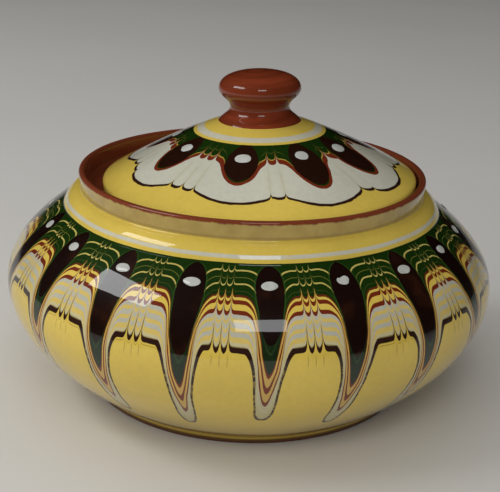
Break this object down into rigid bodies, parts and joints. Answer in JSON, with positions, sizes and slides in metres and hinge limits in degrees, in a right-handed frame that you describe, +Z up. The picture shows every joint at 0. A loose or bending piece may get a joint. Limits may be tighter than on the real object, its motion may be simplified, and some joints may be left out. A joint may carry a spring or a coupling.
{
  "type": "lidded casserole pot",
  "caption": "Squat glazed earthenware casserole with a combed slip pattern, a raised collar and a drop-in domed lid with a knob.",
  "frame": {"origin": "centre of the foot, on the surface the pot stands on", "axes": "+Z up through the middle of the pot; -Y is the front; the lid sits a little towards +X"},
  "size_m": [0.2423, 0.242, 0.1565],
  "materials": {
    "terracotta": "red-brown fired clay under a clear gloss glaze",
    "knob_glaze": "red-brown fired clay under a thick clear gloss glaze",
    "yellow_slip": "yellow slip under a clear gloss glaze",
    "pale_slip": "pale grey slip under a clear gloss glaze",
    "dark_slip": "dark brown slip under a clear gloss glaze"
  },
  "bodies": {
    "pot": {"pot_body": "terracotta", "pot_slip_coat": "yellow_slip", "pot_ring_line": "pale_slip", "pot_dark_drops": "dark_slip", "pot_pale_dots": "pale_slip"},
    "lid": {"lid_dome": "terracotta", "lid_slip_coat": "yellow_slip", "lid_ring_line": "pale_slip", "lid_dark_drops": "dark_slip", "lid_pale_dots": "pale_slip", "lid_knob": "knob_glaze"}
  },
  "joints": [
    {"name": "lid_lift", "type": "slide", "parent": "pot", "child": "lid", "axis": [0, 0, 1], "range_m": [0, 0.1]}
  ]
}
